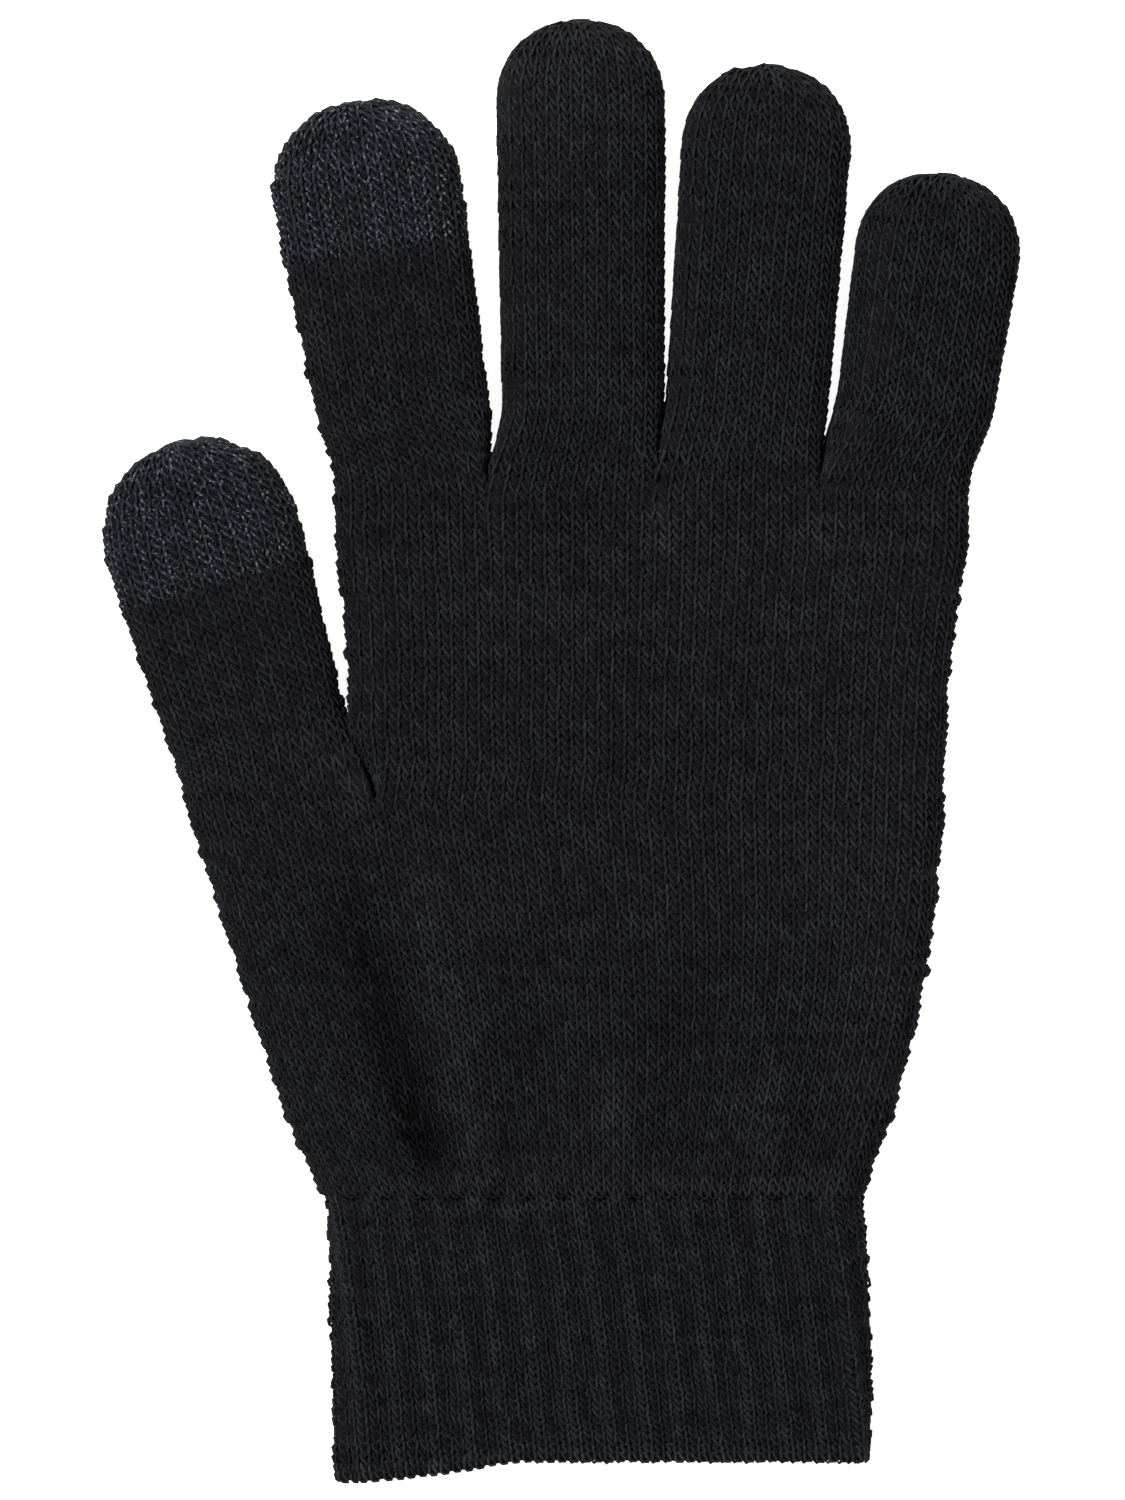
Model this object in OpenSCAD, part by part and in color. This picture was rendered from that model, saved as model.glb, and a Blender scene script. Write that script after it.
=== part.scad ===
/* [Hand] */
// Thickness of the hand section as it lies flat
hand_height = 13; // [12:0.5:15]
// Y of the line where the fingers meet the four-finger section
finger_line = 32; // [31:0.5:33]
// Y of the line where the thumb meets the five-finger section
thumb_line = -8; // [-9:0.5:-7]
// Wall of the knitted fabric, both of its faces together
fabric_wall = 2; // [1.6:0.1:2.2]
// Rise of the upper fabric in the middle of each section
crown = 0.8; // [0.2:0.1:1.2]

/* [Fingers] */
// Thickness of a finger as it lies flat
finger_height = 10.6; // [10:0.2:11]
// Half-length of the fold at a finger joint
finger_fold = 5.5; // [5.3:0.1:5.8]
// Y of the index fingertip
index_tip_end = 95.4; // [94:0.2:97]
// Y of the middle fingertip
middle_tip_end = 107.5; // [106:0.5:109]
// Y of the ring fingertip
ring_tip_end = 101; // [99:0.5:103]
// Y of the little fingertip
little_tip_end = 85.2; // [84:0.2:87]
// Y where the touch yarn of the index finger begins
index_touch_start = 71.7; // [71:0.1:74]

/* [Thumb] */
// Lean of the thumb to the side, in degrees
thumb_lean = 15; // [13:0.5:16]
// Length of the thumb from the hand to its tip
thumb_length = 55.3; // [53:0.1:57]
// Where the touch yarn of the thumb begins, along the thumb
thumb_touch_start = 33.5; // [32:0.5:36]

/* [Cuff] */
// Thickness of the ribbed cuff as it lies flat
cuff_height = 11; // [10:0.5:12]
// Y of the line where the rib begins
cuff_line = -66; // [-66.5:0.5:-65.5]
// Y of the cuff's open mouth
cuff_mouth = -107.5; // [-109:0.5:-106]
// Width of the overlocked edge at the mouth
hem_width = 3.2; // [2.5:0.1:4]
// Number of elastic threads laid into the rib
elastic_rows = 6; // [3:1:8]
// Diameter of an elastic thread
elastic_d = 0.9; // [0.7:0.1:1.1]

/* [Closing yarns] */
// Diameter of the doubled yarn that closes each fingertip
closing_d = 1.2; // [1:0.1:1.6]
// Length of the yarn end left inside a fingertip
closing_length = 7; // [5:0.5:9]

/* [Hidden] */

body_yarn = "#1b1c1f";
touch_yarn = "#34353a";
rib_yarn = "#1c1d20";
edge_yarn = "#17181a";
elastic_colour = "#2a2a2c";
fold_yarn = "#222327";

// Points on the round of each side of a section, and across its crowned top.
side_points = 6;
top_points = 4;
ring_size = 2 * (side_points + 1) + top_points;

// Half-length of the fold at the wrist and at the two joints of the thumb.
wrist_fold_half = 4.5;
thumb_knuckle_half = 4;
thumb_middle_half = 4.5;

// Joint lines: Y on the hand and fingers, distance from the thumb's root on the thumb.
wrist_line = cuff_line + wrist_fold_half;
knuckle_line = finger_line + 11;
little_knuckle_line = finger_line + 10.7;
index_middle_line = 60.5;
middle_middle_line = 67.5;
ring_middle_line = 64.5;
little_middle_line = 59;
thumb_knuckle = 10;
thumb_middle = 24;

// The hand as [Y, left edge, right edge, thickness], from the wrist up.
hand_lower = [
    [wrist_line + wrist_fold_half, -40.2, 48, hand_height - 1],
    [-46, -43.8, 51.5, hand_height - 0.5],
    [-34, -47.7, 53.8, hand_height],
    [-22, -51.6, 55.4, hand_height],
    [thumb_line, -55.9, 56.6, hand_height - 0.5]
];
hand_upper = [
    [thumb_line, -28.2, 56.6, hand_height - 0.5],
    [2, -30.6, 56.8, hand_height],
    [16, -32, 57.8, hand_height - 0.5],
    [finger_line, -33.9, 60.4, finger_height]
];
wrist_rings = [
    [cuff_line, -35.2, 44.4, cuff_height],
    [wrist_line, -37.6, 46.2, cuff_height + 0.5],
    [wrist_line + wrist_fold_half, -40.2, 48, hand_height - 1]
];
cuff_rings = [
    [cuff_mouth + hem_width, -34, 46, cuff_height],
    [-92, -34.2, 45.9, cuff_height],
    [-78, -34.5, 45.3, cuff_height],
    [cuff_line, -35.2, 44.4, cuff_height]
];
hem_rings = [
    [cuff_mouth, -34.3, 46.3, cuff_height],
    [cuff_mouth + hem_width, -34, 46, cuff_height]
];

// A finger is [X at its root, lean in degrees, width at the root, width near the tip, tip Y].
index = [-21.6, -9.1, 23.9, 27.6, index_tip_end];
middle = [2.3, 0.2, 22.2, 25.2, middle_tip_end];
ring = [25.4, 4.4, 22.4, 25.2, ring_tip_end];
little = [49, 9.4, 22.6, 24.8, little_tip_end];

// One section of a flat-lying tube: a flat underside, round sides and a crowned top.
function section(width, height, rise, lift) =
    let (r = (height - rise) / 2, half = width / 2 - r)
    concat(
        [for (i = [0:side_points])
            let (a = -90 + 180 * i / side_points)
            [half + r * cos(a), lift + r + r * sin(a)]],
        [for (i = [1:top_points])
            let (u = 1 - 2 * i / (top_points + 1))
            [half * u, lift + 2 * r + rise * (1 - u * u)]],
        [for (i = [0:side_points])
            let (a = 90 + 180 * i / side_points)
            [-half + r * cos(a), lift + r + r * sin(a)]]
    );

// A section set upright at a Y, from edge to edge, shrunk inwards by a wall.
function ring_at(y, left, right, height, wall = 0) =
    [for (p = section(right - left - 2 * wall, height - 2 * wall, crown, wall))
        [(left + right) / 2 + p[0], y, p[1]]];

function rings_of(rows, wall = 0) =
    [for (row = rows) ring_at(row[0], row[1], row[2], row[3], wall)];

// A section that shrinks about the middle of the tube's thickness, for a domed tip.
function tip_ring(y, centre, width, height, full_height) =
    [for (p = section(width, height, crown * height / full_height, (full_height - height) / 2))
        [centre + p[0], y, p[1]]];

function finger_centre(f, y) =
    let (dome = f[4] - f[3] / 2)
    f[0] + tan(f[1]) * (min(y, dome) - finger_line);

function finger_width(f, y) =
    f[2] + (f[3] - f[2]) * min(1, max(0, (y - finger_line) / (f[4] - f[3] / 2 - finger_line)));

function finger_rings(f, from, to, wall = 0) =
    [for (y = [from, (from + to) / 2, to])
        let (c = finger_centre(f, y), w = finger_width(f, y))
        ring_at(y, c - w / 2, c + w / 2, finger_height, wall)];

// The domed end: the width follows a half circle, the thickness a shorter one.
dome_steps = [0, 0.35, 0.6, 0.78, 0.9, 0.97, 1];
function dome_rings(f, from, wall = 0) =
    let (
        radius = f[3] / 2 - wall,
        end = f[4] - wall,
        height = finger_height - 2 * wall,
        centre = finger_centre(f, f[4])
    )
    concat(
        finger_rings(f, from, end - radius - 0.5, wall),
        [for (u = dome_steps)
            let (
                y = end - radius * (1 - u),
                width = 2 * radius * sqrt(1 - u * u),
                d = min(1, radius * (1 - u) / (height / 2)),
                thick = height * (0.45 + 0.55 * sqrt(1 - (1 - d) * (1 - d)))
            )
            tip_ring_at(y, centre, max(width, thick + 0.5), thick)]
    );

function tip_ring_at(y, centre, width, thick) =
    tip_ring(y, centre, width, thick, finger_height);

// The thumb's own frame: X across, Y along it, turned by its lean at its root.
thumb_centre = [(-55.9 - 28.6) / 2, thumb_line];
thumb = [0, 0, 25.2, 28.6, thumb_length + finger_line];
function thumb_y(s) = s + finger_line;
function to_thumb(points) =
    let (c = cos(thumb_lean), s = sin(thumb_lean))
    [for (p = points)
        let (x = p[0], y = p[1] - finger_line)
        [thumb_centre[0] + c * x - s * y, thumb_centre[1] + s * x + c * y, p[2]]];
function thumb_rings(from, to, wall = 0) =
    [for (r = finger_rings(thumb, thumb_y(from), thumb_y(to), wall)) to_thumb(r)];

// A closed tube wall between outer and inner rings, open at its start and, unless
// capped, at its end.
module shell(outer, inner, capped = false) {
    n = ring_size;
    m = len(outer);
    k = len(inner);
    base = n * m;
    points = concat([for (r = outer) each r], [for (r = inner) each r]);
    outside = [for (j = [0:m - 2], i = [0:n - 1])
        [j * n + i, (j + 1) * n + i, (j + 1) * n + (i + 1) % n, j * n + (i + 1) % n]];
    inside = [for (j = [0:k - 2], i = [0:n - 1])
        [base + j * n + (i + 1) % n, base + (j + 1) * n + (i + 1) % n,
            base + (j + 1) * n + i, base + j * n + i]];
    start = [for (i = [0:n - 1]) [i, (i + 1) % n, base + (i + 1) % n, base + i]];
    far = (m - 1) * n;
    inner_far = base + (k - 1) * n;
    end = capped
        ? [[for (i = [n - 1:-1:0]) far + i], [for (i = [0:n - 1]) inner_far + i]]
        : [for (i = [0:n - 1])
            [far + (i + 1) % n, far + i, inner_far + i, inner_far + (i + 1) % n]];
    polyhedron(points, concat(outside, inside, start, end), convexity = 6);
}

// A tube through rows of [Y, left, right, thickness].
module hand_tube(rows) {
    shell(rings_of(rows), rings_of(rows, fabric_wall));
}

module finger_tube(f, from, to) {
    shell(finger_rings(f, from, to), finger_rings(f, from, to, fabric_wall));
}

module finger_tip(f, from) {
    shell(dome_rings(f, from), dome_rings(f, from, fabric_wall), capped = true);
}

module thumb_tube(from, to) {
    shell(thumb_rings(from, to), thumb_rings(from, to, fabric_wall));
}

// The yarn end that closes a tip: it starts in the wall and lies along the tip.
module closing_yarn(centre, tip) {
    translate([centre, tip - fabric_wall / 2, finger_height / 2])
        rotate([90, 0, 0])
            cylinder(h = closing_length, d = closing_d, $fn = 24);
}

module cuff() {
    color(rib_yarn) hand_tube(cuff_rings);
}

module cuff_hem() {
    color(edge_yarn) hand_tube(hem_rings);
}

// Elastic threads lie round the inside of the rib, evenly spaced along it.
module cuff_elastic() {
    first = cuff_mouth + hem_width + 4;
    pitch = (cuff_line - 5 - first) / (elastic_rows - 1);
    wall = fabric_wall;
    color(elastic_colour)
        for (i = [0:elastic_rows - 1]) {
            y = first + i * pitch;
            rows = [for (e = [-elastic_d / 2, elastic_d / 2])
                [y + e, cuff_edge(y + e, 1), cuff_edge(y + e, 2), cuff_height]];
            shell(rings_of(rows, wall), rings_of(rows, wall + elastic_d));
        }
}

// The cuff's left (1) or right (2) edge at a Y, straight between its rows.
function cuff_edge(y, side) = lookup(y, [for (row = cuff_rings) [row[0], row[side]]]);

module wrist_fold() {
    color(fold_yarn) hand_tube(wrist_rings);
}

module palm_lower() {
    color(body_yarn) hand_tube(hand_lower);
}

module palm_upper() {
    color(body_yarn) hand_tube(hand_upper);
}

// The thumb's root turns from the line of the hand to the thumb's own direction.
module thumb_root() {
    end = thumb_knuckle - thumb_knuckle_half;
    base = [thumb_line, -55.9, -28.6, hand_height - 0.5];
    outer = [ring_at(base[0], base[1], base[2], base[3]), thumb_rings(end - 1, end)[2]];
    inner = [
        ring_at(base[0], base[1], base[2], base[3], fabric_wall),
        thumb_rings(end - 1, end, fabric_wall)[2]
    ];
    color(body_yarn) shell(outer, inner);
}

module thumb_knuckle_fold() {
    color(fold_yarn)
        thumb_tube(thumb_knuckle - thumb_knuckle_half, thumb_knuckle + thumb_knuckle_half);
}

module thumb_lower() {
    color(body_yarn)
        thumb_tube(thumb_knuckle + thumb_knuckle_half, thumb_middle - thumb_middle_half);
}

module thumb_middle_fold() {
    color(fold_yarn)
        thumb_tube(thumb_middle - thumb_middle_half, thumb_middle + thumb_middle_half);
}

module thumb_upper() {
    color(body_yarn) thumb_tube(thumb_middle + thumb_middle_half, thumb_touch_start);
}

module thumb_touch_tip() {
    from = thumb_y(thumb_touch_start);
    color(touch_yarn)
        shell(
            [for (r = dome_rings(thumb, from)) to_thumb(r)],
            [for (r = dome_rings(thumb, from, fabric_wall)) to_thumb(r)],
            capped = true
        );
}

module thumb_closing_yarn() {
    color(touch_yarn)
        translate([thumb_centre[0], thumb_centre[1], 0])
            rotate([0, 0, thumb_lean])
                translate([0, -finger_line, 0])
                    closing_yarn(0, thumb[4]);
}

module root(f, line) {
    color(body_yarn) finger_tube(f, finger_line, line - finger_fold);
}

module fold(f, line) {
    color(fold_yarn) finger_tube(f, line - finger_fold, line + finger_fold);
}

module lower(f, from, to) {
    color(body_yarn) finger_tube(f, from + finger_fold, to - finger_fold);
}

module index_root() { root(index, knuckle_line); }
module index_knuckle_fold() { fold(index, knuckle_line); }
module index_lower() { lower(index, knuckle_line, index_middle_line); }
module index_middle_fold() { fold(index, index_middle_line); }
module index_upper() {
    color(body_yarn) finger_tube(index, index_middle_line + finger_fold, index_touch_start);
}
module index_touch_tip() { color(touch_yarn) finger_tip(index, index_touch_start); }
module index_closing_yarn() {
    color(touch_yarn) closing_yarn(finger_centre(index, index[4]), index[4]);
}

module middle_root() { root(middle, knuckle_line); }
module middle_knuckle_fold() { fold(middle, knuckle_line); }
module middle_lower() { lower(middle, knuckle_line, middle_middle_line); }
module middle_middle_fold() { fold(middle, middle_middle_line); }
module middle_upper() {
    color(body_yarn) finger_tip(middle, middle_middle_line + finger_fold);
}
module middle_closing_yarn() {
    color(body_yarn) closing_yarn(finger_centre(middle, middle[4]), middle[4]);
}

module ring_root() { root(ring, knuckle_line); }
module ring_knuckle_fold() { fold(ring, knuckle_line); }
module ring_lower() { lower(ring, knuckle_line, ring_middle_line); }
module ring_middle_fold() { fold(ring, ring_middle_line); }
module ring_upper() {
    color(body_yarn) finger_tip(ring, ring_middle_line + finger_fold);
}
module ring_closing_yarn() {
    color(body_yarn) closing_yarn(finger_centre(ring, ring[4]), ring[4]);
}

module little_root() { root(little, little_knuckle_line); }
module little_knuckle_fold() { fold(little, little_knuckle_line); }
module little_lower() { lower(little, little_knuckle_line, little_middle_line); }
module little_middle_fold() { fold(little, little_middle_line); }
module little_upper() {
    color(body_yarn) finger_tip(little, little_middle_line + finger_fold);
}
module little_closing_yarn() {
    color(body_yarn) closing_yarn(finger_centre(little, little[4]), little[4]);
}

cuff();
cuff_hem();
cuff_elastic();
wrist_fold();
palm_lower();
palm_upper();
thumb_root();
thumb_knuckle_fold();
thumb_lower();
thumb_middle_fold();
thumb_upper();
thumb_touch_tip();
thumb_closing_yarn();
index_root();
index_knuckle_fold();
index_lower();
index_middle_fold();
index_upper();
index_touch_tip();
index_closing_yarn();
middle_root();
middle_knuckle_fold();
middle_lower();
middle_middle_fold();
middle_upper();
middle_closing_yarn();
ring_root();
ring_knuckle_fold();
ring_lower();
ring_middle_fold();
ring_upper();
ring_closing_yarn();
little_root();
little_knuckle_fold();
little_lower();
little_middle_fold();
little_upper();
little_closing_yarn();
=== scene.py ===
"""A knitted touchscreen glove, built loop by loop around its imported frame.

Lengths in this file are millimetres until a mesh is made, and Blender gets metres. The glove lies flat with
its palm up: +Y runs to the fingertips, +X to the little finger, and the table is at Z = 0.
"""

import logging
import math
from dataclasses import dataclass, field
from enum import Enum

import bpy
import numpy as np
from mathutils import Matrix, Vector


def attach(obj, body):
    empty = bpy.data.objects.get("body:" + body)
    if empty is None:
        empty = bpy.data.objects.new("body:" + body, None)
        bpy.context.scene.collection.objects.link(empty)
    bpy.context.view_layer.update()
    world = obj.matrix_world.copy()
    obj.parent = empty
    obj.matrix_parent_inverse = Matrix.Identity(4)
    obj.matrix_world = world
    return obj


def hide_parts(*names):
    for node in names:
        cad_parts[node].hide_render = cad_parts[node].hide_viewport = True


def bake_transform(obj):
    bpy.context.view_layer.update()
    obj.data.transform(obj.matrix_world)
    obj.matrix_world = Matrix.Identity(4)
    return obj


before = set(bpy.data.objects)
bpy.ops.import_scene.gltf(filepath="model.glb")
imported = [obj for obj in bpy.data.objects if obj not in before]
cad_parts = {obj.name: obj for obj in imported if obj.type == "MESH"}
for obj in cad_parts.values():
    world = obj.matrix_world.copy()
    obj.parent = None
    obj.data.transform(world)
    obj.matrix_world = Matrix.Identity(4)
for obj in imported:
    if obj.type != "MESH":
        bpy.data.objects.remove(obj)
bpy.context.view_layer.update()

LOG = logging.getLogger("glove")
MM = 0.001
SEED = 20
HEM_SEED = SEED + 89
RIB_SEED = SEED + 90
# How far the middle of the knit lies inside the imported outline.
FABRIC_INSET = 0.5
# Added to a digit's length, less the inset, to place the middle of its last loops.
TIP_REACH = 0.7
# Above 2, a tip is squarer than a half circle.
SHOULDER = 2.15

Array = np.ndarray
Material = bpy.types.Material
Piece = bpy.types.Object
Socket = bpy.types.NodeSocket
Tree = bpy.types.NodeTree
Point = tuple[float, float, float]
Rows = tuple[tuple[float, ...], ...]
Sweep = tuple[Array, Array, Array]


class Slot(Enum):
    """The record's finish slots that the glove's pieces belong to."""

    MAIN = "main_yarn"
    TOUCH = "touch_yarn"
    RIB = "rib_yarn"
    HEM = "hem_thread"
    ELASTIC = "elastic_thread"


# -------- small tools


def srgb(code: str) -> tuple[float, float, float, float]:
    """Turn an sRGB hex colour, such as "#1b1c1f", into linear red, green and blue with an alpha of 1."""
    parts = [int(code[i : i + 2], 16) / 255 for i in (1, 3, 5)]
    return (*[p / 12.92 if p <= 0.04045 else ((p + 0.055) / 1.055) ** 2.4 for p in parts], 1.0)


def smoothstep(x: Array | float) -> Array | float:
    """Ease from 0 to 1 as x goes from 0 to 1, and hold those values outside."""
    t = np.clip(x, 0.0, 1.0)
    return t * t * (3 - 2 * t)


def eased(y: Array | float, rows: Rows, column: int, reach: float = 4.0) -> Array:
    """Read a column of rows at a Y, with the corners between the rows rounded off.

    Args:
        y: Where to read, in mm.
        rows: Rows whose first value is Y, in rising order.
        column: Which value of the rows to read.
        reach: How far each side of y the corner is rounded.

    Returns:
        The column's value at y.
    """
    ys = [row[0] for row in rows]
    values = [row[column] for row in rows]
    spread = np.linspace(-reach, reach, 9)
    return np.mean([np.interp(np.asarray(y) + d, ys, values) for d in spread], axis=0)


def unit(v: Array) -> Array:
    """Scale vectors, which lie along the last axis, to length 1."""
    return v / np.maximum(np.linalg.norm(v, axis=-1, keepdims=True), 1e-9)


def places_round(wales: int) -> Array:
    """Space places evenly round a tube of so many wales, two to a wale, from 0 up to 1."""
    return np.arange(2 * wales) / (2 * wales)


def outline(width: float, height: float, rise: float, lift: float, at: Array) -> Array:
    """Points round a flat-lying tube's section.

    Args:
        width: Full width of the section.
        height: Full thickness of the section.
        rise: How far the top crowns above its round sides.
        lift: Height of the underside.
        at: Places round the section from 0 to 1: 0 is the left edge, 0.25 the top, 0.5 the right edge.

    Returns:
        One row of x and z for each place, evenly spaced by length over the top and over the underside.
    """
    r = max((height - rise) / 2, 0.05)
    half = max(width / 2 - r, 0.01)
    quarter = np.radians(np.linspace(0, 90, 12))
    across = np.linspace(-1, 1, 24)
    left = np.c_[-half - r * np.cos(quarter), r * np.sin(quarter)]
    right = left[::-1] * (-1, 1)
    top = np.vstack([left, np.c_[half * across, r + rise * (1 - across**2)][1:-1], right])
    under = np.vstack([left, right])[::-1] * (1, -1)
    out = np.empty((len(at), 2))
    for line, where, start in ((top, at % 1 < 0.5, 0.0), (under, at % 1 >= 0.5, 0.5)):
        steps = np.r_[0, np.cumsum(np.linalg.norm(np.diff(line, axis=0), axis=1))]
        t = (at[where] % 1 - start) * 2 * steps[-1]
        out[where] = np.c_[np.interp(t, steps, line[:, 0]), np.interp(t, steps, line[:, 1])]
    return out + (0, lift + r)


# -------- finishes


def add_node(tree: Tree, kind: str, output: str | int, values: dict[str | int, object]) -> Socket:
    """Add a shader node to a material.

    Args:
        tree: The material's node tree.
        kind: Blender's name for the node, less "ShaderNode".
        output: Which of its outputs is wanted, by name or number.
        values: Its settings and inputs, by name or number. A socket is joined to its input.

    Returns:
        The wanted output.
    """
    new = tree.nodes.new("ShaderNode" + kind)
    for name, value in values.items():
        if isinstance(value, Socket):
            tree.links.new(value, new.inputs[name])
        elif isinstance(name, int) or name in new.inputs:
            new.inputs[name].default_value = value
        else:
            setattr(new, name, value)
    return new.outputs[output]


@dataclass(frozen=True)
class YarnFinish:
    """Brushed acrylic yarn: matt, with a soft bloom of loose fibre.

    The sizes are in mm. The clouds are as wide as a loop. Single fibres are too fine to show, so they are
    drawn as tufts of a third of a millimetre.
    """

    name: str
    dark: str
    light: str
    fleck: str = ""
    fleck_share: float = 0.0
    roughness: float = 0.93
    specular: float = 0.08
    sheen: float = 0.03
    # Painted shade: how dark the sides of each yarn are, against its lit crown.
    side_shade: float = 0.54
    cloud_size: float = 1.923
    fibre_size: float = 0.3125
    twist_spacing: float = 0.3142

    def build(self) -> Material:
        """Make the material.

        Returns:
            The yarn's material, whose twist follows the yarn map of each piece.
        """
        made = bpy.data.materials.new(self.name)
        made.use_nodes = True
        tree = made.node_tree
        inputs = tree.nodes["Principled BSDF"].inputs
        place = add_node(tree, "TexCoord", "Object", {})
        along = add_node(tree, "UVMap", "UV", {"uv_map": "yarn"})
        tufts = 1 / (self.fibre_size * MM)
        fibre = add_node(tree, "TexNoise", "Fac", {"Scale": tufts, "Detail": 2.0, "Vector": place})
        coloured = self.dye(tree, place, fibre)
        if self.fleck_share:
            coloured = self.flecks(tree, along, coloured)
        # Painted shade and light scale the dye.
        level = self.shade_and_wear_level(tree, along)
        shaded_colour = add_node(tree, "VectorMath", "Vector", {"operation": "SCALE", 0: coloured, "Scale": level})
        tree.links.new(shaded_colour, inputs["Base Color"])
        # The twist shows as slanting grooves along the yarn, the fibre as a fine uneven nap.
        # The yarn map is in mm, and a wave at scale 1 turns through 10 radians in each.
        scale = 2 * math.pi / (10 * self.twist_spacing)
        bands = {"wave_type": "BANDS", "bands_direction": "DIAGONAL", "Scale": scale, "Distortion": 1.2}
        twist = add_node(tree, "TexWave", "Fac", {**bands, "Vector": along})
        grooves = add_node(tree, "Bump", "Normal", {"Strength": 0.5, "Distance": 0.00012, "Height": twist})
        nap = {"Strength": 0.6, "Distance": 0.00008, "Height": fibre, "Normal": grooves}
        tree.links.new(add_node(tree, "Bump", "Normal", nap), inputs["Normal"])
        inputs["Roughness"].default_value = self.roughness
        inputs["Specular IOR Level"].default_value = self.specular
        inputs["Sheen Weight"].default_value = self.sheen
        inputs["Sheen Roughness"].default_value = 0.6
        inputs["Sheen Tint"].default_value = srgb("#8a8c96")
        return made

    def dye(self, tree: Tree, place: Socket, fibre: Socket) -> Socket:
        """Mottle the dye: soft clouds of tone, broken up by single fibres.

        Args:
            tree: The material's node tree.
            place: The point on the object.
            fibre: The noise of single fibres.

        Returns:
            The colour.
        """
        clouds = 1 / (self.cloud_size * MM)
        cloud = add_node(tree, "TexNoise", "Fac", {"Scale": clouds, "Detail": 3.0, "Vector": place})
        soft = add_node(tree, "Math", 0, {"operation": "MULTIPLY", 0: cloud, 1: 0.45})
        both = add_node(tree, "Math", 0, {"operation": "MULTIPLY_ADD", 0: fibre, 1: 0.55, 2: soft})
        light = add_node(tree, "MapRange", "Result", {"From Min": 0.39, "From Max": 0.61, "Value": both})
        dyes = {"data_type": "RGBA", 0: light, 6: srgb(self.dark), 7: srgb(self.light)}
        return add_node(tree, "Mix", 2, dyes)

    def flecks(self, tree: Tree, along: Socket, coloured: Socket) -> Socket:
        """Lay short pale lengths of the second fibre over the dye.

        Args:
            tree: The material's node tree.
            along: The yarn map.
            coloured: The colour under the flecks.

        Returns:
            The flecked colour.
        """
        low = 0.7 - 0.3 * self.fleck_share
        # A fleck is about two thirds of a millimetre long and reaches half round the yarn.
        stretched = add_node(tree, "Mapping", "Vector", {"Scale": (1.5, 1.6, 1.0), "Vector": along})
        speck = add_node(tree, "TexNoise", "Fac", {"Scale": 1.0, "Detail": 1.0, "Vector": stretched})
        cut = add_node(tree, "MapRange", "Result", {"From Min": low, "From Max": low + 0.1, "Value": speck})
        return add_node(tree, "Mix", 2, {"data_type": "RGBA", 0: cut, 6: coloured, 7: srgb(self.fleck)})

    def shade_and_wear_level(self, tree: Tree, along: Socket) -> Socket:
        """Paint shade on the yarn's sides so that its crown looks lit, and lighten or darken it by the
        painted shade and light, and the yarn's own tone, stored at each point.

        Args:
            tree: The material's node tree.
            along: The yarn map, whose V runs once round the yarn from its crown.

        Returns:
            The level of the colour, 1 where the dye shows as it is.
        """
        # The painted shade and light, and the yarn's own tone, stored at each point.
        shade = add_node(tree, "Attribute", "Fac", {"attribute_name": "shade_and_wear"})
        turns = add_node(tree, "SeparateXYZ", "Y", {"Vector": along})
        angle = add_node(tree, "Math", 0, {"operation": "MULTIPLY", 0: turns, 1: 2 * math.pi})
        around = add_node(tree, "Math", 0, {"operation": "COSINE", 0: angle})
        crown = add_node(tree, "Math", 0, {"operation": "ABSOLUTE", 0: around})
        # Painted shade darkens the yarn's sides down to this level, so that the crown looks lit.
        side_shaded = add_node(tree, "MapRange", "Result", {"To Min": self.side_shade, "Value": crown})
        return add_node(tree, "Math", 0, {"operation": "MULTIPLY_ADD", 0: side_shaded, 1: shade, 2: side_shaded})


# A soft charcoal black that turns every loop into a dull thread, never a shine.
MAIN = YarnFinish("brushed acrylic yarn, black", "#151517", "#292a2f")
# Pale specks of conductive fibre, which make the touch tips look grey and salted beside the black.
TOUCH = YarnFinish(
    "acrylic yarn plied with conductive fibre", "#1c1d22", "#33343b", "#696b74", fleck_share=0.38
)
# A shade lighter than the rib, so that the edge reads as a line of its own.
HEM = YarnFinish("overlocked edge yarn", "#1c1d1f", "#37383c")
# Slightly greyer than the hand, because stretched ribs let more light in between the fibres.
RIB = YarnFinish("brushed acrylic yarn of the rib", "#18191b", "#2f3034")
# Smoother and closely wound, so that the threads inside the cuff catch a faint line of light.
ELASTIC = YarnFinish(
    "covered rubber thread, black", "#161617", "#26272a", roughness=0.7, twist_spacing=0.1257
)
# Nearly black and quite matt: painted shade in the gaps between the loops, laid on the loose fibre there, so
# that the gaps stay deep.
SHADED_WEB = YarnFinish("shaded loose fibre between the loops", "#131315", "#171719", sheen=0.0)


@dataclass(frozen=True)
class Patch:
    """A soft oval of the upper face made darker or lighter: mostly painted shade and light of folds and
    slopes, and in a few places the yarn's own lighter fuzz.
    """

    x: float
    y: float
    half_length: float
    half_width: float
    lean: float
    amount: float

    def strength(self, points: Array) -> Array:
        """Work out how much the patch changes each point, fading out from its middle.

        Args:
            points: One row of x, y, z for each point, in mm.

        Returns:
            The change of tone at each point.
        """
        a = math.radians(self.lean)
        dx, dy = points[:, 0] - self.x, points[:, 1] - self.y
        along = (dx * math.sin(a) + dy * math.cos(a)) / self.half_length
        across = (dx * math.cos(a) - dy * math.sin(a)) / self.half_width
        return self.amount * np.exp(-(along**4) - across**2)


# Painted shade and light, with the yarn's own lighter fuzz: the first three paint shade into the palm's long
# crease and the slope to its left, the fourth paints light on the ridge to its right, and the next five
# paint dark and light bands over the gathers of the lower palm. The next three lighten the fuzzy stitches at
# three finger forks, the broad one at the right of the palm paints light there, and the rest lighten the
# middle fingertip and the wrist line and darken the bases of the index and middle fingers.
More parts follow.
